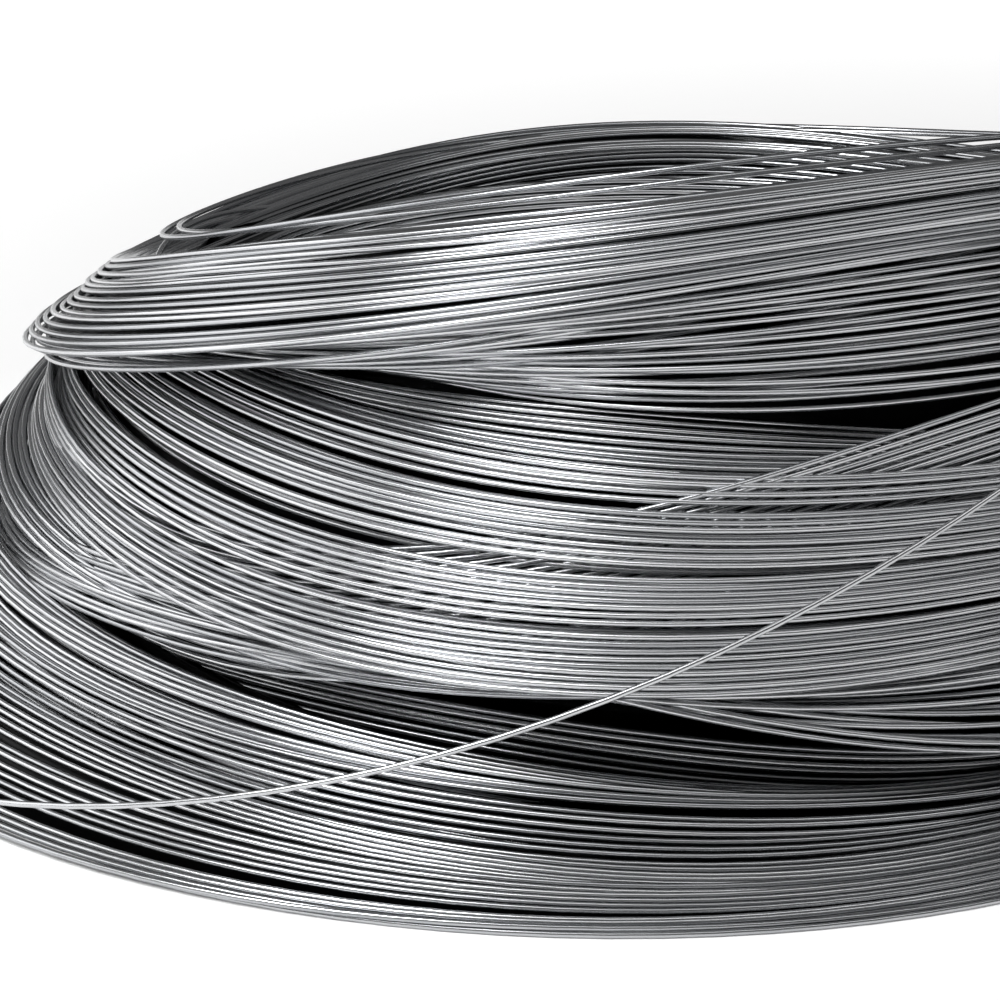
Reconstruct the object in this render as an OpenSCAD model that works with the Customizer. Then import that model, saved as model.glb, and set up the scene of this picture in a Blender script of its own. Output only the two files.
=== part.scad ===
// Coil of spring steel wire, lying on its side face with its bore upright.
// One length of bright drawn wire, wound in lays that have loosened, slipped and tilted on one
// another. Each lay is one turned solid, and its turns stand out as ribs on its faces.
// The origin is on the floor, on the axis of the bore. The front is at -Y.

/* [Wire] */
// Diameter of the wire
wire_d = 2; // [1.6:0.1:3]
// Distance between neighbouring turns, as a multiple of the wire's diameter
turn_spread = 1.06; // [1.03:0.01:1.2]
// Clearance between a lay and the one that it rests on, where they meet
lay_gap = 0.2; // [0.05:0.05:0.5]

/* [Innermost turns] */
// Radius of the bore, inside the innermost turns
bore_r = 160; // [130:1:200]
// Thickness of the innermost turns, which stand round the bore as a sleeve
inner_width = 7; // [4:0.5:12]
// Turns up the sleeve's ribbed head, above its plain bore wall
inner_rows = 8; // [3:1:12]
// Height of the plain wall of the bore, from the floor
wall_high = 100; // [60:1:110]

/* [Bottom lay] */
// Width of the bottom lay, from its innermost to its outermost turns
bottom_width = 87.8; // [70:0.1:110]
// Turns up the outer face of the bottom lay
bottom_rows = 11; // [6:1:14]
// Angle at which the bottom lay's outer face leans inward, from upright
bottom_lean = 25; // [0:1:35]
// Distance by which the bottom lay has slid to the left, away from the axis of the bore
bottom_slide = 28; // [10:1:35]

/* [Thin lays] */
// Turns up the outer face of each of the two thin lays
thin_rows = 5; // [4:1:9]
// Distance by which the lower thin lay steps in from the top turns of the bottom lay
lower_thin_step = 12; // [2:0.5:14]
// Distance by which the upper thin lay steps in from the top turns of the lower thin lay
upper_thin_step = 2; // [1:0.5:10]
// Angle between a thin lay and the lay below it
thin_tilt = 1.2; // [0.4:0.1:2]
// Angle at which a thin lay's outer face leans inward, from upright
thin_lean = 20; // [0:1:35]
// Direction of the side at which the lower thin lay is raised, counted from the right-hand side
thin_side = 125; // [90:5:180]
// Distance by which the lower thin lay lies to the right of the bottom lay
lower_thin_slide = 20; // [4:1:24]
// Distance by which the upper thin lay lies to the right of the lower thin lay
upper_thin_slide = 4; // [0:1:14]

/* [Shoulder lay] */
// Turns up the outer face of the shoulder lay, which is the thickest
shoulder_rows = 20; // [12:1:24]
// Distance by which the shoulder lay steps in from the thin lay below it
shoulder_step = 5; // [3:1:18]
// Angle between the shoulder lay and the thin lay below it
shoulder_tilt = 2; // [0.5:0.1:3]
// Direction of the side at which the shoulder lay is raised, counted from the right-hand side
shoulder_side = -130; // [-180:5:-90]
// Distance by which the shoulder lay lies to the right of the thin lay below it
shoulder_slide = 8; // [4:1:16]
// Angle at which the shoulder lay's outer face leans inward, from upright
shoulder_lean = 40; // [20:1:45]
// Play of the upper lays round the innermost turns, which lets them tilt
lay_play = 2; // [1.5:0.5:4]

/* [Fanned turns] */
// Turns up each of the three bundles that fan out between the shoulder lay and the top lay
fan_rows = 6; // [3:1:7]
// Turns across each fanned bundle
fan_across = 3; // [2:1:4]
// Clearance between one fanned bundle and the next one inside it
fan_gap = 1; // [0.8:0.1:2]

/* [Top lay] */
// Width of the top lay, from its innermost to its outermost turns
top_width = 28; // [20:1:40]
// Turns up the outer face of the top lay
top_rows = 12; // [8:1:16]
// Angle between the top lay and the shoulder lay
top_tilt = 10; // [6:0.1:11]
// Direction of the side at which the top lay is raised, counted from the right-hand side
top_side = -55; // [-90:5:0]
// Angle at which the top lay's outer face leans inward, from upright
top_lean = 12; // [0:1:30]
// Play of the top lay round the innermost turns, which lets it tilt
top_play = 8; // [6:0.5:12]

/* [Loose turns] */
// Distance by which the sprung turn, which stands round the whole coil, is wider than the bottom lay
sprung_out = 8; // [6:0.5:30]
// Angle at which the sprung turn slopes, from the floor at the left to its high side
sprung_tilt = 17; // [12:0.5:22]
// Direction of the sprung turn's high side, counted from the right-hand side
sprung_side = -10; // [-30:5:40]
// Distance from the top lay's bore to the inner one of the two loose turns that lie on it
over_inset = 13; // [8:0.5:16]
// Distance between the two turns that lie over the top lay
over_pitch = 5; // [3:0.5:8]
// Distance by which those two turns have slid across the bore
over_slide = 17; // [10:1:20]
// Direction in which those two turns have slid, counted from the right-hand side
over_side = 35; // [0:5:90]
// Angle between those two turns and the top lay
over_tilt = 1.5; // [0.5:0.1:2.5]

/* [Hidden] */
// Distance from one turn to the next along a face
pitch = wire_d * turn_spread;
// How far a lay's solid core stands out from the middle of its turns
bed = wire_d / 4;
// Turns drawn in from a lay's edges on its upper and lower faces, where they can be seen
margin = 8;
// Outer radius of the innermost turns
sleeve_r = bore_r + inner_width;

// Turns up the outer faces of the lays up to the shoulder: the bottom lay, the two thin lays
// and the shoulder lay
lays = [bottom_rows, thin_rows, thin_rows, shoulder_rows];
shoulder = len(lays) - 1;
function rows(i) = lays[i];
// Lean of the outer face of lay i
function lean(i) = [bottom_lean, thin_lean, thin_lean, shoulder_lean][i];
// Step of lay i in from the lay below it
function step(i) = [0, lower_thin_step, upper_thin_step, shoulder_step][i];
// Tilt of lay i against the lay below it, and the direction of its raised side
function tilt(i) = [0, thin_tilt, thin_tilt, shoulder_tilt][i];
function side(i) = [0, thin_side, thin_side + 180, shoulder_side][i];
// Distance of lay i to the right of the lay below it, and to the right of the axis of the bore
function slide(i) = [-bottom_slide, lower_thin_slide, upper_thin_slide, shoulder_slide][i];
function off(i) = i == 0 ? slide(0) : off(i - 1) + slide(i);
// Radius of the bore of lay i, which leaves room for the innermost turns on the side it slid from
function in_r(i) = sleeve_r + abs(off(i)) + (i == 0 ? lay_gap : lay_play);
// Outer radius of lay i at its lowest turn, and at its highest turn
function out_r(i) = i == 0 ? in_r(0) + bottom_width : head_r(i - 1) - step(i);
function head_r(i) = out_r(i) - run(rows(i)) * sin(lean(i));
// Height of lay i
function high(i) = wire_d + run(rows(i)) * cos(lean(i));
// Distance between the first and the last of n turns side by side
function run(n) = (n - 1) * pitch;
// Height of the middle of a lay of radius r over the face that it rests on, tilted by t, so that
// its low side just clears that face, which reaches as far as head on that side
function lift(r, t, head) = min(r, head) * tan(t) + lay_gap;

// The top lay and the fanned bundles round it, which all rest on the shoulder lay by their low side
top_in = sleeve_r + top_play;
top_out = top_in + top_width;
top_high = wire_d + run(top_rows) * cos(top_lean);
fan_width = wire_d + run(fan_across);
fan_high = wire_d + run(fan_rows);
fans = 3;
// Inner radius of fanned bundle k, counted from the inside, and its tilt
function fan_in(k) = top_out + fan_gap + (k - 1) * (fan_width + fan_gap);
function fan_tilt(k) = top_tilt * (fans + 1 - k) / (fans + 1);

// Turns side by side in a straight row, with their middles from a to b, but not the ends left out
module turns(a, b, first = 0, last = 0) {
    n = max(1, round(norm(b - a) / pitch));
    for (k = [first : n - last]) translate(a + (b - a) * k / n) circle(d = wire_d, $fn = 32);
}

// Half section of a lay: a core, with the turns on the faces that can be seen. Turns are drawn
// in from the edges as far as rim on the upper face and as far as hem on the lower one.
module lay_section(r_in, r_out, n, angle, rim, hem) {
    half = wire_d / 2;
    low = [r_out - half, half];
    top = low + run(n) * [-sin(angle), cos(angle)];
    in_low = [r_in + half, half];
    in_top = [r_in + half, top.y];
    sole = hem == 0 ? 0 : half - bed;
    polygon([
        [r_in + half - bed, sole],
        [low.x, sole],
        [low.x + bed * (1 + sin(angle)) / cos(angle), half - bed],
        [top.x + bed * (1 - sin(angle)) / cos(angle), top.y + bed],
        [r_in + half - bed, top.y + bed]
    ]);
    turns(low, top);
    turns(in_low, in_top);
    edge(top, in_top, rim);
    if (hem > 0) edge(low, in_low, hem);
}

// Turns along a face from a towards b, as many as count, or all but the ends if they meet
module edge(a, b, count) {
    if (norm(b - a) > (count + 1) * pitch) turns(a, a + (b - a) / norm(b - a) * count * pitch, 1);
    else turns(a, b, 1, 1);
}

// Places what follows with its middle up by h, tilted by t with its raised side in direction az
module tilted(h, t, az) translate([0, 0, h]) rotate([0, 0, az]) rotate([0, -t, 0])
    rotate([0, 0, -az]) children();

// Places what follows in the frame of lay i, which rests on the lays below it
module on_lay(i) {
    if (i == 0) translate([slide(0), 0, 0]) children();
    else on_lay(i - 1) translate([slide(i), 0, 0])
        tilted(high(i - 1) + lift(out_r(i), tilt(i), head_r(i - 1) + slide(i) * cos(side(i))),
            tilt(i), side(i)) children();
}

// Places what follows on the shoulder lay, round the bore and tilted by t, where its outer
// radius is r
module on_shoulder(r, t) on_lay(shoulder) translate([-off(shoulder), 0, 0])
    tilted(high(shoulder) + lift(r, t, head_r(shoulder) - off(shoulder) * cos(top_side)),
        t, top_side) children();

// Lay i as one turned solid, in its place
module lay(i) color([0.72, 0.73, 0.74]) on_lay(i) rotate_extrude($fn = 96)
    lay_section(in_r(i), out_r(i), rows(i), lean(i), margin, i == 0 ? 0 : margin);

// The innermost turns: a sleeve with a plain wall, and a head of turns above it
module inner_turns() color([0.5, 0.51, 0.52]) rotate_extrude($fn = 96) {
    half = wire_d / 2;
    head = wall_high + half + run(inner_rows);
    translate([bore_r, 0]) square([inner_width, wall_high]);
    translate([bore_r + half - bed, 0]) square([inner_width - 2 * (half - bed), head + bed]);
    turns([bore_r + half, wall_high + half], [bore_r + half, head]);
    turns([sleeve_r - half, wall_high + half], [sleeve_r - half, head]);
    turns([bore_r + half, head], [sleeve_r - half, head], 1, 1);
}

module bottom_lay() lay(0);
module lower_thin_lay() lay(1);
module upper_thin_lay() lay(2);
module shoulder_lay() lay(shoulder);

// Fanned bundle k. The bundles lie one inside another at their low side and spread at the raised side.
module fan(k) color([0.76, 0.77, 0.78]) on_shoulder(fan_in(k) + fan_width, fan_tilt(k))
    rotate_extrude($fn = 96)
        lay_section(fan_in(k), fan_in(k) + fan_width, fan_rows, 0, margin, margin);
module outer_fan() fan(3);
module middle_fan() fan(2);
module inner_fan() fan(1);

module top_lay() color([0.8, 0.81, 0.82]) on_shoulder(top_out, top_tilt) rotate_extrude($fn = 96)
    lay_section(top_in, top_out, top_rows, top_lean, top_width, margin);

// One loose turn, with the middle of its wire at radius r
module ring(r) rotate_extrude($fn = 96) translate([r, 0]) circle(d = wire_d, $fn = 32);

// The loose turns: one round the whole coil, two over the top lay
module loose_turns() color([0.86, 0.87, 0.88]) {
    base = out_r(0);
    sprung_r = base + sprung_out;
    out = base + wire_d / 2 + lay_gap - sprung_r * cos(sprung_tilt);
    translate([off(0), 0, 0]) rotate([0, 0, sprung_side]) translate([-out, 0, 0])
        tilted(sprung_r * sin(sprung_tilt) + wire_d / 2, sprung_tilt, 0) ring(sprung_r);
    over_r = top_in + over_inset;
    slide = over_slide * [cos(over_side), sin(over_side), 0];
    on_shoulder(top_out, top_tilt) translate(slide)
        tilted(top_high + wire_d / 2 + lift(over_r + over_pitch, over_tilt, over_r + over_pitch),
            over_tilt, top_side) { ring(over_r); ring(over_r + over_pitch); }
}

inner_turns();
bottom_lay();
lower_thin_lay();
upper_thin_lay();
shoulder_lay();
outer_fan();
middle_fan();
inner_fan();
top_lay();
loose_turns();
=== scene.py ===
"""Coil of bright drawn spring steel wire, lying on its side face with its bore upright.

Every turn is a closed ring of wire. A band of turns runs between two loops, and each turn in it
strays a little, as slack wire does. The turns are then pressed apart so that they lie on one
another and don't sink in.
"""
import math

import bmesh
import bpy
import numpy as np
from bpy.props import FloatProperty, FloatVectorProperty, IntProperty, PointerProperty
from mathutils import Matrix, Vector


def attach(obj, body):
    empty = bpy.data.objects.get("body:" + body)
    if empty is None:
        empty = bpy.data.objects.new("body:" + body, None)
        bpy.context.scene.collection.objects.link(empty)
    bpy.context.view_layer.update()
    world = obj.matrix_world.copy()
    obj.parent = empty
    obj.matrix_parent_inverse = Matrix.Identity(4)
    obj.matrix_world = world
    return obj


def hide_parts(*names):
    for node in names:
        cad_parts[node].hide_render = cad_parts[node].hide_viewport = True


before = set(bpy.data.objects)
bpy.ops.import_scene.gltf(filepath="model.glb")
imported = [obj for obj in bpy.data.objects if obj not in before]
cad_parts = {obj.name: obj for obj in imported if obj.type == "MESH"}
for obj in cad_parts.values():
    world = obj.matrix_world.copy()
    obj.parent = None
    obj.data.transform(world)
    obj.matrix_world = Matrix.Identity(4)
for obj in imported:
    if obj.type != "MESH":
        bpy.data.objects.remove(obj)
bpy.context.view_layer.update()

bl_info = {
    "name": "Spring steel wire coil",
    "version": (1, 0, 0),
    "blender": (4, 5, 0),
    "location": "View3D > Sidebar > Wire coil",
    "description": "Winds a loosened coil of bright drawn spring steel wire",
    "category": "Add Mesh",
}

MM = 0.001
FULL = 2 * math.pi

# Rings are turned at this radius, in metres, and then laid along their paths
RING_R = 0.2
# The section that a core is turned from before its corners are put in place, in metres
CORE_SECTION_R = 0.01
CORE_STEPS = 96
# Share of the steel's colour left on the cores of the hidden turns: painted shade, which darkens
# them because the depth between the turns is dark
PAINTED_SHADE_SHARE = 0.03
# Metres of pattern that the turns start from, and how far round the wire each turn's pattern is
# shifted from the last one's, so that no two turns are alike
PATTERN_M = 40
ROUND_SHIFT = 0.37
# Range of the turns' brightness, from mostly dull to mostly bright
TONES = (0.35, 1.15)
# Waves round the coil in a bundle's swing and in a turn's own straying
SWING_WAVES = (1, 2, 3)
STRAY_WAVES = (2, 3, 5)

# The camera looks down by this many degrees, which is a fall of 0.325 along the view
CAMERA_DOWN = 18
SIGHT_FALL = 0.325
# How far it is from the point that it aims at, and that point, in metres
CAMERA_FAR = 1.35
CAMERA_AIM = (-0.062, 0, 0.035)
SENSOR_MM = 36
# Focal length in widths of the square picture
FOCAL_WIDTHS = 3.782

# Pressing turns apart: rounds, share of an overlap taken out in each, and the number of waves
# round the coil past which a turn is smoothed
PRESS_ROUNDS = 60
PRESS_SHARE = 0.35
FAIR_WAVES = 14

# Each lamp: name, degrees round from the right, degrees up, distance, width and height in
# metres, and watts. They aim at the middle of the coil.
LAMPS = (
    ("key", -135, 46, 1.5, 0.6, 0.9, 20),
    ("strip", -80, 58, 1.6, 2.4, 0.5, 6.5),
    ("left", 172, 22, 1.8, 2.0, 1.2, 14.5),
)
LAMP_AIM = (-0.02, 0, 0.08)
ROOM_LIGHT = 0.14
FLOOR_HALF = 12.0

# The loops that border the lays, in mm: radius, middle to the right and to the back, height;
# rise to the right and to the back; height that swings twice and three times round (cosine
# and sine of each); radius that swings twice and three times round.
LOOPS = {
    "floor": (284.7, -27.2, -7.8, 1.0, 0, 0, 0, 0, 0, 0, -2.3, 1.4, -0.5, 1.8),
    "ledge": (267.2, -17.1, 6.6, 18.4, 0.9, 6.3, 1.2, -0.9, 3.9, -1.7, 0.4, -3.3, 2.9, 9.7),
    "waist": (248.8, -9.0, 3.0, 31.1, -5.7, 10.6, 3.8, 1.5, 1.2, 2.9, 0, 0, 0, 0),
    "step": (239.5, -8.0, 5.0, 43.6, -5.4, 20.0, 7.8, 3.3, 4.4, 4.1, 0, 0, 0, 0),
    "cheek": (242.0, 4.7, 0.0, 63.4, -0.7, 10.8, -0.1, -4.3, 0.3, 1.4, 0, 0, 0, 0),
    "cheek_top": (235.1, 5.6, 0.0, 71.5, 3.4, 13.8, 0.4, -4.2, -0.1, -1.8, 0, 0, 0, 0),
    "nest_top": (229.6, 7.0, 6.0, 45.7, 3.7, 18.9, 0.0, 4.6, 6.9, 5.1, 0, 0, 0, 0),
    "nest_low": (230.0, 7.0, 6.0, 37.4, 8.8, 21.4, 0.3, 3.1, 8.1, 0.9, 0, 0, 0, 0),
    "under": (250.6, 12.7, 0.0, 51.0, -6.6, 2.7, 1.1, 8.3, 9.1, 1.1, 0, 0, 0, 0),
    "under_top": (246.6, -1.0, 0.0, 51.9, 6.4, -4.4, -3.8, -2.3, 0.7, -2.1, 0, 0, 0, 0),
    "hip": (243.7, 6.4, 0.9, 60.8, -2.7, -0.5, 3.2, -3.6, -2.2, -0.6, -4.7, 1.0, 5.0, 4.1),
    "shoulder": (216.5, 14.4, 4.5, 100.9, -7.5, -13.5, -1.2, 2.5, -4.0, -3.5, -2.9, -3.6,
                 2.0, 3.8),
    "slip": (218.1, -1.3, 0.8, 102.4, 17.0, -5.4, 0.5, -11.5, -7.8, 0.6, -0.3, 2.7, 1.6, 1.3),
    "spread": (204.5, 15.1, 4.0, 107.8, -12.3, -14.9, 4.2, 1.8, -0.3, 6.7, 0, 0, 0, 0),
    "fan": (206.7, 12.3, 5.3, 114.4, 3.5, -24.0, -0.1, 1.7, -2.4, -3.8, -2.0, -8.7, -1.4, 4.4),
    "hoop": (210.5, -10.0, -5.5, 128.5, 18.0, -34.6, -8.6, -8.3, 1.6, -3.3, 4.0, 9.8, 0.5, -0.2),
    "crown": (199.6, -1.3, -1.6, 150.8, 16.5, -35.1, -9.2, -5.0, 1.3, -4.6, -2.1, -1.9, 2.0, -2.2),
    "rim": (171.8, 0.4, 0.0, 148.6, 15.5, -33.0, -8.5, -4.6, 1.2, -4.2, 0, 0, 0, 0),
    "mouth": (170.5, 0.4, 0.0, 124.0, 14.5, -31.0, -8.0, -4.4, 1.0, -4.0, 0, 0, 0, 0),
    "bore_top": (161.2, 0, 0, 114.0, 0, 0, 0, 0, 0, 0, 0, 0, 0, 0),
    "bore_low": (161.2, 0, 0, 1.2, 0, 0, 0, 0, 0, 0, 0, 0, 0, 0),
    "sprung": (282.4, -42.0, -5.2, 70.8, 82.7, -14.7, 15.2, -13.2, 1.8, -3.5, -4.1, 10.4,
               1.7, 2.5),
    "over": (190.1, 11.6, 10.0, 156.4, 16.2, -36.8, -7.1, -4.7, 1.7, -0.9, 1.5, 0.9, 0.6, -1.4),
    "over_in": (185.0, 12.0, 10.1, 155.5, 15.5, -34.9, -5.1, -4.7, 1.1, -1.3, 1.1, 0.0, 0.2, -1.0),
}


def linear(code):
    """Turns an sRGB hex colour to the linear values that Blender uses."""
    channels = [int(code[i:i + 2], 16) / 255 for i in (1, 3, 5)]
    return [c / 12.92 if c <= 0.04045 else ((c + 0.055) / 1.055) ** 2.4 for c in channels]


class CoilWire(bpy.types.PropertyGroup):
    """Sizes of the wire and of its turns"""
    wire_d: FloatProperty(name="Wire diameter", description="Diameter of the drawn wire",
                          default=0.002, min=0.001, max=0.004, unit="LENGTH")
    steps: IntProperty(name="Steps", description="Straight pieces that each turn is made of",
                       default=120, min=48, max=240)
    sides: IntProperty(name="Sides", description="Sides of the wire's section",
                       default=6, min=4, max=16)
    stray: FloatProperty(name="Stray", description="How far a turn strays from its place",
                         default=0.0005, min=0.0, max=0.004, unit="LENGTH")
    seed: IntProperty(name="Seed", description="Seed of the turns' straying", default=7, min=0)


class CoilFinish(bpy.types.PropertyGroup):
    """Colours of the finishes"""
    steel: FloatVectorProperty(name="Steel", description="Bright drawn spring steel",
                               subtype="COLOR", size=3, default=linear("#C8C9CB"),
                               min=0.0, max=1.0)
    steel_dull: FloatVectorProperty(name="Dull steel", description="Where drawing soap is left",
                                    subtype="COLOR", size=3, default=linear("#96989B"),
                                    min=0.0, max=1.0)
    floor: FloatVectorProperty(name="Floor", description="Pale studio floor", subtype="COLOR",
                               size=3, default=linear("#F4F4F4"), min=0.0, max=1.0)


def node(tree, kind, links=(), **settings):
    """Adds one node, sets its properties and sockets, and links its inputs."""
    made = tree.nodes.new(kind)
    for key, value in settings.items():
        if key.startswith("in_"):
            made.inputs[key[3:].replace("_", " ")].default_value = value
        else:
            setattr(made, key, value)
    for socket, source in links:
        tree.links.new(source, made.inputs[socket])
    return made


def drawn_steel(name, colours, shade=1.0):
    """Cold drawn spring steel wire, bright finish: the die leaves fine lines along the wire,
    which widen its gloss across the wire, and soap residue dulls some stretches."""
    if name in bpy.data.materials:
        return bpy.data.materials[name]
    mat = bpy.data.materials.new(name)
    mat.use_nodes = True
    tree = mat.node_tree
    tree.nodes.clear()
    uv = node(tree, "ShaderNodeUVMap", uv_map="wire")
    # One unit along the map is a metre of wire, so soap stretches are about 60 mm long
    spot = node(tree, "ShaderNodeMapping", [("Vector", uv.outputs["UV"])],
                in_Scale=(16.0, 3.0, 1.0))
    soap = node(tree, "ShaderNodeTexNoise", [("Vector", spot.outputs["Vector"])],
                in_Scale=1.0, in_Detail=3.0, in_Roughness=0.6)
    tone = node(tree, "ShaderNodeAttribute", attribute_name="tone")
    # Die lines are about 0.05 mm apart. They are drawn 14 round the wire, 0.45 mm apart, and
    # half a metre long, so that they show
    line = node(tree, "ShaderNodeMapping", [("Vector", uv.outputs["UV"])],
                in_Scale=(2.0, 14.0, 1.0))
    lines = node(tree, "ShaderNodeTexNoise", [("Vector", line.outputs["Vector"])],
                 in_Scale=1.0, in_Detail=2.0, in_Roughness=0.6)
    blend = node(tree, "ShaderNodeMath", [(0, soap.outputs["Fac"]), (1, tone.outputs["Fac"])],
                 operation="MULTIPLY")
    ramp = node(tree, "ShaderNodeValToRGB", [("Fac", blend.outputs["Value"])])
    dull, bright = ramp.color_ramp.elements
    dull.position, bright.position = 0.05, 0.5
    # A shade below 1 darkens both steel colours. This is painted shade, and the cores get it
    dull.color = [c * shade for c in colours.steel_dull] + [1]
    bright.color = [c * shade for c in colours.steel] + [1]
    rough = node(tree, "ShaderNodeMapRange", [("Value", lines.outputs["Fac"])],
                 in_From_Min=0.3, in_From_Max=0.7, in_To_Min=0.2, in_To_Max=0.32)
    bump = node(tree, "ShaderNodeBump", [("Height", lines.outputs["Fac"])],
                in_Strength=0.1, in_Distance=0.0001)
    shader = node(tree, "ShaderNodeBsdfPrincipled",
                  [("Base Color", ramp.outputs["Color"]), ("Roughness", rough.outputs["Result"]),
                   ("Normal", bump.outputs["Normal"])], in_Metallic=1.0)
    node(tree, "ShaderNodeOutputMaterial", [("Surface", shader.outputs["BSDF"])])
    return mat


def angles(count):
    """Evenly spaced angles once round."""
    return np.arange(count) * (FULL / count)


def track(loop, theta):
    """Points of a loop, in mm, at angles round its own middle."""
    r0, x0, y0, z0, t1, t2, w1, w2, v1, v2, p1, p2, q1, q2 = loop
    c1, s1, c2, s2, c3, s3 = (turn(n * theta) for n in (1, 2, 3) for turn in (np.cos, np.sin))
    r = r0 + p1 * c2 + p2 * s2 + q1 * c3 + q2 * s3
    z = z0 + t1 * c1 + t2 * s1 + w1 * c2 + w2 * s2 + v1 * c3 + v2 * s3
    return x0 + r * c1, y0 + r * s1, z


def polar(loop, theta):
    """The loop's distance from the axis of the bore, and its height, at angles round that."""
    # A point each quarter of a degree
    x, y, z = track(loop, angles(1440))
    around = np.arctan2(y, x) % FULL
    order = np.argsort(around)
    return [np.interp(theta, around[order], value[order], period=FULL)
            for value in (np.hypot(x, y), z)]


def moved(loop, out=0.0, up=0.0):
    """A loop taken outward and upward."""
    return (loop[0] + out,) + loop[1:3] + (loop[3] + up,) + loop[4:]


def behind(loop, depth):
    """A loop taken inward, and down by the fall of the view, so that its turns show in the gaps
    between the turns in front of them."""
    return moved(loop, -depth, depth * -SIGHT_FALL)


def wave(theta, rng, swing, waves):
    """A slow random swing round the coil, in mm: outward, and upward."""
    return np.array([sum(np.sin(n * theta + rng.uniform(0, FULL)) * rng.normal(0, swing / n)
                         for n in waves) for _ in range(2)])


def band(low, high, bundles, theta, rng, swing, stray, first=0.0, last=1.0):
    """Paths of turns from one loop to another. They run in bundles, which swing together, and
    each turn strays a little from its bundle."""
    start, end = np.array(polar(low, theta)), np.array(polar(high, theta))
    place = iter(np.linspace(first, last, sum(bundles)))
    rows = []
    for count in bundles:
        lean = wave(theta, rng, swing, SWING_WAVES)
        for _ in range(count):
            own = wave(theta, rng, stray, STRAY_WAVES)
            rows.append((start + (end - start) * next(place) + lean + own).T)
    return rows


def pressed(rows, gap):
    """Presses turns apart until they lie on one another, and keeps each one fair and off the
    floor."""
    path = np.array(rows)
    count, steps = path.shape[:2]
    soft = 1 / (1 + (np.fft.rfftfreq(steps, 1 / steps) / FAIR_WAVES) ** 4)
    for _ in range(PRESS_ROUNDS):
        apart = path[:, None] - path[None]
        # The tiny length keeps a turn from being divided by its distance from itself, which is 0
        dist = np.sqrt((apart ** 2).sum(-1)) + 1e-9
        over = np.clip(gap - dist, 0, None)
        over[np.arange(count), np.arange(count)] = 0
        path = path + (apart / dist[..., None] * over[..., None]).sum(1) * PRESS_SHARE
        path = np.fft.irfft(np.fft.rfft(path, axis=1) * soft[None, :, None], n=steps, axis=1)
        path[:, :, 1] = np.maximum(path[:, :, 1], gap / 2)
    return path


def turned(bm, half, sides, steps):
    """Fills an empty bmesh with a section of that half width, turned into a closed ring."""
    bmesh.ops.create_circle(bm, segments=sides, radius=half,
                            matrix=Matrix.Translation((RING_R, 0, 0))
                            @ Matrix.Rotation(math.pi / 2, 4, "X"))
    bmesh.ops.spin(bm, geom=bm.verts[:] + bm.edges[:], cent=(0, 0, 0), axis=(0, 0, 1),
                   angle=FULL, steps=steps, use_merge=True)
    bmesh.ops.recalc_face_normals(bm, faces=bm.faces)


def finished(mesh, name, finish):
    """The object of a finished mesh, smooth, in the scene and with its material."""
    mesh.shade_smooth()
    mesh.update()
    obj = bpy.data.objects.new(name, mesh)
    bpy.context.scene.collection.objects.link(obj)
    mesh.materials.append(finish)
    return obj


def unit(vectors):
    """The vectors at a length of one."""
    return vectors / np.linalg.norm(vectors, axis=-1, keepdims=True)


def rings(name, count, wire):
    """A mesh of as many equal rings, one after another in its list of points."""
    bm = bmesh.new()
    turned(bm, wire.wire_d / 2, wire.sides, wire.steps)
    single = bpy.data.meshes.new(name + "_turn")
    bm.to_mesh(single)
    bm.clear()
    for _ in range(count):
        bm.from_mesh(single)
    mesh = bpy.data.meshes.new(name)
    bm.to_mesh(mesh)
    bm.free()
    bpy.data.meshes.remove(single)
    if len(mesh.vertices) != wire.steps * wire.sides * count:
        raise RuntimeError(f"{name}: {len(mesh.vertices)} points in {count} turns")
    return mesh


def wires(name, rows, wire, rng, finish):
    """One object of closed rings of wire that follow the rows."""
    count, steps, each = len(rows), wire.steps, wire.steps * wire.sides
    mesh = rings(name, count, wire)
    co = np.empty(count * each * 3)
    mesh.vertices.foreach_get("co", co)
    co = co.reshape(count, each, 3)
    # Where each point is: its step round the ring, and its place on the section
    column = np.rint(np.arctan2(co[..., 1], co[..., 0]) % FULL / FULL * steps)
    column = column.astype(int) % steps
    out = np.hypot(co[..., 0], co[..., 1]) - RING_R
    up = co[..., 2].copy()
    # The middle line of each turn, and the section's two directions along it
    path = np.array(rows) * MM
    a = angles(steps)
    line = np.stack([path[..., 0] * np.cos(a), path[..., 0] * np.sin(a), path[..., 1]], -1)
    along = unit(np.roll(line, -1, 1) - np.roll(line, 1, 1))
    side = np.stack([np.cos(a), np.sin(a), np.zeros(steps)], -1)
    side = unit(side - along * (side * along).sum(-1, keepdims=True))
    rise = np.cross(along, side)
    rise *= np.sign(rise[..., 2:3])
    turn = np.arange(count)[:, None]
    new = (line[turn, column] + side[turn, column] * out[..., None]
           + rise[turn, column] * up[..., None])
    mesh.vertices.foreach_set("co", new.ravel())

    # Map along the wire in metres, and round it from 0 to 1. The last face of a turn, and the
    # last one round the wire, run on past the seam.
    lengths = np.linalg.norm(np.roll(line, -1, 1) - line, axis=-1)
    arc = np.concatenate([np.zeros((count, 1)), np.cumsum(lengths, 1)], 1)
    corner = np.empty(len(mesh.loops), int)
    mesh.loops.foreach_get("vertex_index", corner)
    row, point = corner // each, corner % each
    # Every face has four corners
    first = np.arange(0, len(corner), 4)
    face = np.arange(len(corner)) // 4
    col = column[row, point]
    past_end = np.maximum.reduceat(col, first)[face] - col > steps / 2
    around = (np.arctan2(up[row, point], out[row, point]) / FULL) % 1
    past_seam = np.maximum.reduceat(around, first)[face] - around > 0.5
    start = rng.uniform(0, PATTERN_M, count)
    u = arc[row, np.where(past_end, steps, col)] + start[row]
    v = around + past_seam + row * ROUND_SHIFT
    uv = mesh.uv_layers.new(name="wire")
    uv.data.foreach_set("uv", np.stack([u, v], -1).ravel())
    tone = mesh.attributes.new("tone", "FLOAT", "POINT")
    tone.data.foreach_set("value", np.repeat(rng.uniform(*TONES, count), each))
    return finished(mesh, name, finish)


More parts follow.
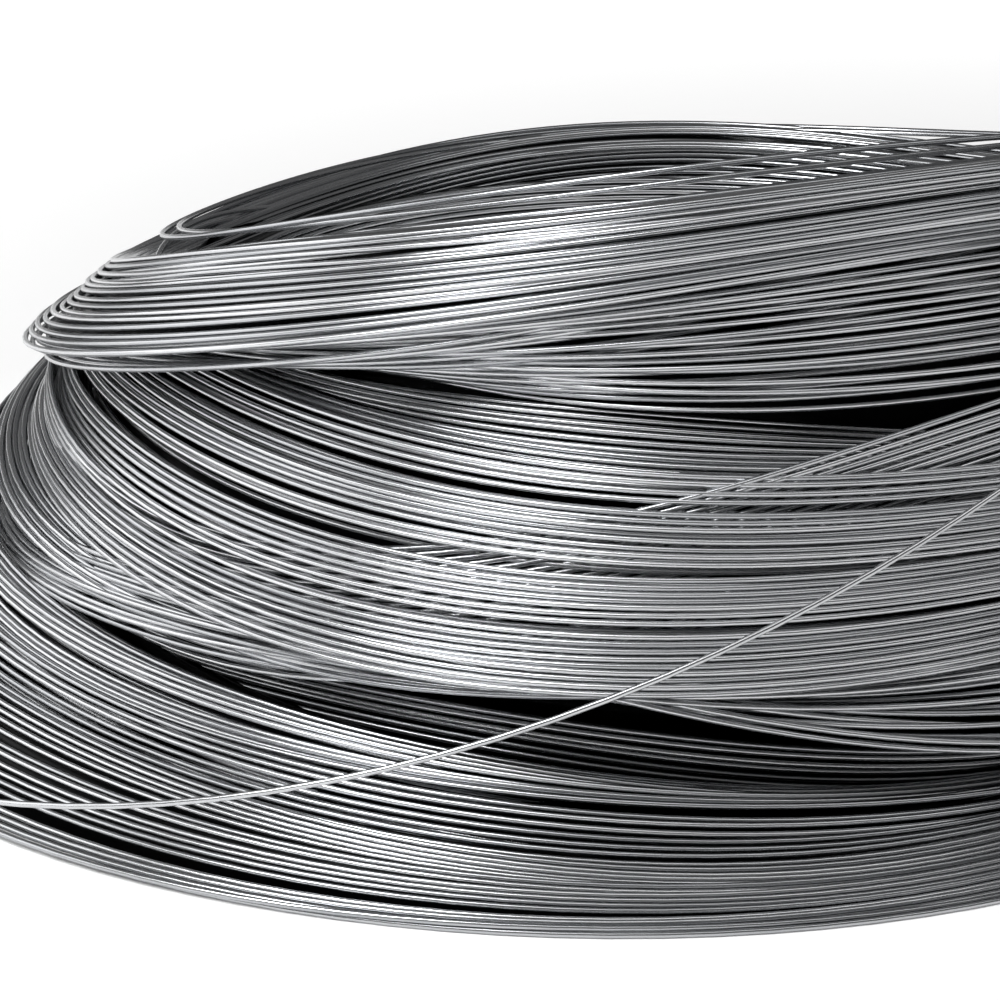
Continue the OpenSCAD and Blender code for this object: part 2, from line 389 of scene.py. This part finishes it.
def core(name, corners, finish):
    """The plain body of hidden turns behind the ones that show, turned between loops."""
    bm = bmesh.new()
    sides = len(corners)
    turned(bm, CORE_SECTION_R, sides, CORE_STEPS)
    a = angles(CORE_STEPS)
    paths = [polar(loop, a) for loop in corners]
    for v in bm.verts:
        # The point's step round the coil, and the corner of the section that it is
        column = round(math.atan2(v.co.y, v.co.x) / FULL * CORE_STEPS) % CORE_STEPS
        lean = math.atan2(v.co.z, math.hypot(v.co.x, v.co.y) - RING_R) - math.pi / 2
        corner = round(lean / FULL * sides) % sides
        r, z = (value[column] * MM for value in paths[corner])
        v.co = (r * math.cos(a[column]), r * math.sin(a[column]), max(z, 0))
    bmesh.ops.recalc_face_normals(bm, faces=bm.faces)
    mesh = bpy.data.meshes.new(name)
    bm.to_mesh(mesh)
    bm.free()
    return finished(mesh, name, finish)


def settle(obj, *nodes):
    """Rides the piece on the coil's one body in place of its CAD nodes."""
    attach(obj, "root")
    if nodes:
        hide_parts(*nodes)


class WindOperator:
    """What all the winding operators share: the piece's name, the CAD nodes that it stands for,
    a number of its own for its random draws, its bands of turns and its core"""
    bl_options = {"REGISTER", "UNDO"}
    piece = ""
    nodes = ()
    salt = 0

    def bands(self, theta, rng, stray):
        """Paths of the piece's turns"""
        raise NotImplementedError

    def heart(self):
        """Loops that the corners of the piece's core follow, if it has a core"""
        return ()

    def execute(self, context):
        wire, colours = context.scene.coil_wire, context.scene.coil_finish
        # Seeds are kept 100 apart, so that no piece draws what another one drew
        rng = np.random.default_rng(wire.seed * 100 + self.salt)
        steel = drawn_steel("drawn_spring_steel", colours)
        # The cores get the steel darkened to a few per cent, a painted shade for the dark depth
        # between the turns
        dark = drawn_steel("painted_shade_steel", colours, PAINTED_SHADE_SHARE)
        theta = angles(wire.steps)
        stray = wire.stray / MM
        rows = pressed(self.bands(theta, rng, stray), wire.wire_d / MM)
        settle(wires(self.piece, rows, wire, rng, steel), *self.nodes)
        corners = self.heart()
        if corners:
            settle(core(self.piece + "_core", corners, dark))
        return {"FINISHED"}


class COIL_OT_inner(WindOperator, bpy.types.Operator):
    """Winds the innermost turns, which stand round the bore"""
    bl_idname = "coil.inner_turns"
    bl_label = "Innermost turns"
    piece, nodes, salt = "inner_wire", ("inner_turns",), 1

    def bands(self, theta, rng, stray):
        return band(LOOPS["bore_low"], LOOPS["bore_top"], [52], theta, rng, 0, stray * 0.3)

    def heart(self):
        low, top = LOOPS["bore_low"], LOOPS["bore_top"]
        return [moved(low, 1.2, -1.2), moved(low, 5.8, -1.2), moved(top, 5.8, 0),
                moved(top, 1.2, 0)]


class COIL_OT_bottom(WindOperator, bpy.types.Operator):
    """Winds the bottom lay, on the floor"""
    bl_idname = "coil.bottom_lay"
    bl_label = "Bottom lay"
    piece, nodes, salt = "bottom_wire", ("bottom_lay",), 2

    def bands(self, theta, rng, stray):
        low, top = LOOPS["floor"], LOOPS["ledge"]
        # One turn by itself on the floor, and then the face
        return (band(low, low, [1], theta, rng, 0, 0)
                + band(low, top, [4, 6, 5], theta, rng, 1.5, stray, 0.06, 1.0))

    def heart(self):
        low, top = LOOPS["floor"], LOOPS["ledge"]
        sleeve = moved(LOOPS["bore_low"], 6.5, 0)
        return [moved(sleeve, 0, -1.2), moved(low, -5, -1), moved(top, -8, -3),
                moved(sleeve, 0, 17)]


class COIL_OT_thin(WindOperator, bpy.types.Operator):
    """Winds the two thin lays"""
    bl_idname = "coil.thin_lays"
    bl_label = "Thin lays"
    piece, nodes, salt = "thin_wire", ("lower_thin_lay", "upper_thin_lay"), 3

    def bands(self, theta, rng, stray):
        ledge, waist, step = LOOPS["ledge"], LOOPS["waist"], LOOPS["step"]
        # The lower lay, the upper lay, and the turns behind both that show in their gaps
        return (band(ledge, waist, [4, 3], theta, rng, 1.2, stray, 0.12, 0.88)
                + band(waist, step, [4, 3, 3], theta, rng, 1, stray, 0.05, 1.0)
                + band(behind(ledge, 9), behind(step, 9), [5, 6], theta, rng, 1.5, stray))

    def heart(self):
        ledge, waist, step = LOOPS["ledge"], LOOPS["waist"], LOOPS["step"]
        sleeve = moved(LOOPS["bore_low"], 6.5, 0)
        return [moved(sleeve, 0, 18), moved(ledge, -16, -1), moved(waist, -15, 0),
                moved(step, -26, -6), moved(sleeve, 0, 36)]


class COIL_OT_shoulder(WindOperator, bpy.types.Operator):
    """Winds the shoulder lay, which is the thickest"""
    bl_idname = "coil.shoulder_lay"
    bl_label = "Shoulder lay"
    piece, nodes, salt = "shoulder_wire", ("shoulder_lay",), 4

    def bands(self, theta, rng, stray):
        hip, top, nest, nest_top, cheek, cheek_top = (
            LOOPS[k] for k in ("hip", "shoulder", "nest_low", "nest_top", "cheek", "cheek_top"))
        under, under_top = (behind(LOOPS[k], 6) for k in ("under", "under_top"))
        # Turns that hang under the lay, a nest of them further in, and turns that lie on its
        # cheek; then the face in three groups with gaps between them, and the turns behind it
        return (band(under, under_top, [4, 5, 4], theta, rng, 0.8, stray)
                + band(nest, nest_top, [3, 3], theta, rng, 0.6, stray, 0.1, 1.0)
                + band(cheek, cheek_top, [5, 4], theta, rng, 0.6, stray)
                + band(hip, top, [4, 5, 4, 3], theta, rng, 1.2, stray, 0.0, 0.51)
                + band(hip, top, [5, 3], theta, rng, 1.2, stray, 0.59, 0.83)
                + band(hip, top, [4], theta, rng, 1, stray, 0.88, 1.0)
                + band(behind(hip, 6), behind(top, 8), [6, 6, 6], theta, rng, 3.5, stray))

    def heart(self):
        nest, hip, top = LOOPS["nest_low"], LOOPS["hip"], LOOPS["shoulder"]
        sleeve = moved(LOOPS["bore_low"], 8.5, 0)
        return [moved(sleeve, 0, 42), moved(nest, -8, 0), moved(hip, -26, 0),
                moved(top, -18, -6), moved(sleeve, 0, 82)]


class COIL_OT_fans(WindOperator, bpy.types.Operator):
    """Winds the turns that fan out between the shoulder lay and the top lay"""
    bl_idname = "coil.fans"
    bl_label = "Fanned turns"
    piece, nodes, salt = "fan_wire", ("outer_fan", "middle_fan", "inner_fan"), 5

    def bands(self, theta, rng, stray):
        top, spread, fan, hoop, slip, bore, mouth = (
            LOOPS[k] for k in ("shoulder", "spread", "fan", "hoop", "slip", "bore_top", "mouth"))
        # Turns that rise out of the shoulder lay; the fan in two groups with a gap between them,
        # and the turns behind it; turns that have slipped outward; and the bore's upper wall
        return (band(behind(top, 7), behind(spread, 6), [5, 4], theta, rng, 1, stray, 0.05, 1.0)
                + band(fan, hoop, [3], theta, rng, 0.6, stray, 0.0, 0.2)
                + band(fan, hoop, [5, 6], theta, rng, 1.2, stray, 0.27, 0.96)
                + band(behind(fan, 6), behind(hoop, 6), [6, 6], theta, rng, 3, stray)
                + band(moved(slip, 5, -24), moved(slip, 1, 0), [12], theta, rng, 0.3, stray)
                + band(moved(slip, 12, -38), moved(slip, 9, -29), [5], theta, rng, 0.3, stray)
                + band(moved(bore, 8.3, -6), moved(mouth, 1.5, -4), [6, 5, 6, 5], theta, rng,
                       0.5, stray))

    def heart(self):
        top, spread, hoop, mouth = (LOOPS[k] for k in ("shoulder", "spread", "hoop", "mouth"))
        return [moved(top, -24, -6), moved(top, -18, -6), moved(spread, -18, -4),
                moved(hoop, -27, -2), moved(mouth, 6, -2)]


class COIL_OT_top(WindOperator, bpy.types.Operator):
    """Winds the top lay, a hoop raised at the front and right"""
    bl_idname = "coil.top_lay"
    bl_label = "Top lay"
    piece, nodes, salt = "top_wire", ("top_lay",), 6

    def bands(self, theta, rng, stray):
        hoop, crown, rim, mouth = (LOOPS[k] for k in ("hoop", "crown", "rim", "mouth"))
        # The outer face and the turns behind it, the top, and the wall round the mouth
        return (band(hoop, crown, [5, 4, 4], theta, rng, 1.2, stray)
                + band(behind(hoop, 5), behind(crown, 5), [4, 4], theta, rng, 2, stray, 0.1, 0.9)
                + band(crown, rim, [4, 4, 4], theta, rng, 1.2, stray, 0.08, 1.0)
                + band(rim, mouth, [5, 6], theta, rng, 1, stray, 0.08, 1.0))

    def heart(self):
        hoop, crown, rim, mouth = (LOOPS[k] for k in ("hoop", "crown", "rim", "mouth"))
        return [moved(mouth, 3, 0), moved(hoop, -8, 3), moved(crown, -7, -4), moved(rim, 3, -3)]


class COIL_OT_loose(WindOperator, bpy.types.Operator):
    """Lays the loose turns: one round the whole coil and two over the top lay"""
    bl_idname = "coil.loose_turns"
    bl_label = "Loose turns"
    piece, nodes, salt = "loose_wire", ("loose_turns",), 7

    def bands(self, theta, rng, stray):
        return [band(LOOPS[key], LOOPS[key], [1], theta, rng, 0, 0)[0]
                for key in ("sprung", "over", "over_in")]


def matt_paper(floor_colour):
    """White matt studio paper. It keeps the coil's soft shadow, and away from the coil it glows
    to white where it is seen, straight or in the steel, without lighting the coil."""
    mat = bpy.data.materials.new("matt_white_paper")
    mat.use_nodes = True
    tree = mat.node_tree
    tree.nodes.clear()
    path = node(tree, "ShaderNodeLightPath")
    seen = node(tree, "ShaderNodeMath", [(0, path.outputs["Is Camera Ray"]),
                                         (1, path.outputs["Is Glossy Ray"])],
                operation="MAXIMUM")
    seen_or_through = node(tree, "ShaderNodeMath",
                           [(0, seen.outputs["Value"]),
                            (1, path.outputs["Is Transmission Ray"])], operation="MAXIMUM")
    place = node(tree, "ShaderNodeTexCoord")
    away = node(tree, "ShaderNodeVectorMath", [(0, place.outputs["Object"])],
                operation="LENGTH")
    # The glow rises from 0.4 m to 1.3 m from the middle of the coil
    rise = node(tree, "ShaderNodeMapRange", [("Value", away.outputs["Value"])],
                in_From_Min=0.4, in_From_Max=1.3, in_To_Min=0.1, in_To_Max=0.8)
    strength = node(tree, "ShaderNodeMath", [(0, seen_or_through.outputs["Value"]),
                                             (1, rise.outputs["Result"])],
                    operation="MULTIPLY")
    matt = node(tree, "ShaderNodeBsdfDiffuse", in_Color=list(floor_colour) + [1])
    glow = node(tree, "ShaderNodeEmission", [("Strength", strength.outputs["Value"])],
                in_Color=linear("#FFFFFF") + [1])
    both = node(tree, "ShaderNodeAddShader", [(0, matt.outputs["BSDF"]),
                                              (1, glow.outputs["Emission"])])
    node(tree, "ShaderNodeOutputMaterial", [("Surface", both.outputs["Shader"])])
    return mat


def lamp(name, azimuth, elevation, distance, wide, tall, watts):
    """A soft rectangular lamp that aims at the coil."""
    data = bpy.data.lights.new(name, "AREA")
    data.shape = "RECTANGLE"
    data.size, data.size_y, data.energy = wide, tall, watts
    obj = bpy.data.objects.new(name, data)
    bpy.context.scene.collection.objects.link(obj)
    a, e = math.radians(azimuth), math.radians(elevation)
    way = Vector((math.cos(a) * math.cos(e), math.sin(a) * math.cos(e), math.sin(e)))
    obj.location = Vector(LAMP_AIM) + way * distance
    obj.rotation_euler = way.to_track_quat("Z", "Y").to_euler()


class COIL_OT_stage(bpy.types.Operator):
    """Sets the pale floor, the soft studio lamps and the camera"""
    bl_idname = "coil.stage"
    bl_label = "Studio"

    def execute(self, context):
        scene = context.scene
        bm = bmesh.new()
        bmesh.ops.create_grid(bm, x_segments=1, y_segments=1, size=FLOOR_HALF)
        mesh = bpy.data.meshes.new("floor")
        bm.to_mesh(mesh)
        bm.free()
        floor = bpy.data.objects.new("floor", mesh)
        scene.collection.objects.link(floor)
        mesh.materials.append(matt_paper(scene.coil_finish.floor))

        world = bpy.data.worlds.new("studio")
        scene.world = world
        world.use_nodes = True
        tree = world.node_tree
        tree.nodes.clear()
        room = node(tree, "ShaderNodeBackground", in_Color=linear("#FFFFFF") + [1],
                    in_Strength=ROOM_LIGHT)
        node(tree, "ShaderNodeOutputWorld", [("Surface", room.outputs["Background"])])

        for values in LAMPS:
            lamp(*values)

        view = bpy.data.cameras.new("camera")
        view.sensor_width = SENSOR_MM
        view.lens = FOCAL_WIDTHS * SENSOR_MM
        eye = bpy.data.objects.new("camera", view)
        scene.collection.objects.link(eye)
        down = math.radians(CAMERA_DOWN)
        x, y, z = CAMERA_AIM
        eye.location = (x, y - CAMERA_FAR * math.cos(down), z + CAMERA_FAR * math.sin(down))
        eye.rotation_euler = (math.radians(90) - down, 0, 0)
        scene.camera = eye
        scene.view_settings.view_transform = "Standard"
        return {"FINISHED"}


class COIL_PT_panel(bpy.types.Panel):
    """Sizes, finishes and operators of the wire coil"""
    bl_idname = "COIL_PT_panel"
    bl_label = "Wire coil"
    bl_space_type = "VIEW_3D"
    bl_region_type = "UI"
    bl_category = "Wire coil"

    def draw(self, context):
        layout = self.layout
        for group in (context.scene.coil_wire, context.scene.coil_finish):
            for key in group.__annotations__:
                layout.prop(group, key)
        for op in OPERATORS:
            layout.operator(op.bl_idname)


OPERATORS = (COIL_OT_stage, COIL_OT_inner, COIL_OT_bottom, COIL_OT_thin, COIL_OT_shoulder,
             COIL_OT_fans, COIL_OT_top, COIL_OT_loose)
CLASSES = (CoilWire, CoilFinish) + OPERATORS + (COIL_PT_panel,)


def register():
    for cls in CLASSES:
        bpy.utils.register_class(cls)
    bpy.types.Scene.coil_wire = PointerProperty(type=CoilWire)
    bpy.types.Scene.coil_finish = PointerProperty(type=CoilFinish)


def unregister():
    del bpy.types.Scene.coil_wire
    del bpy.types.Scene.coil_finish
    for cls in reversed(CLASSES):
        bpy.utils.unregister_class(cls)


def main():
    register()
    bpy.ops.coil.stage()
    bpy.ops.coil.inner_turns()
    bpy.ops.coil.bottom_lay()
    bpy.ops.coil.thin_lays()
    bpy.ops.coil.shoulder_lay()
    bpy.ops.coil.fans()
    bpy.ops.coil.top_lay()
    bpy.ops.coil.loose_turns()


if __name__ == "__main__":
    main()
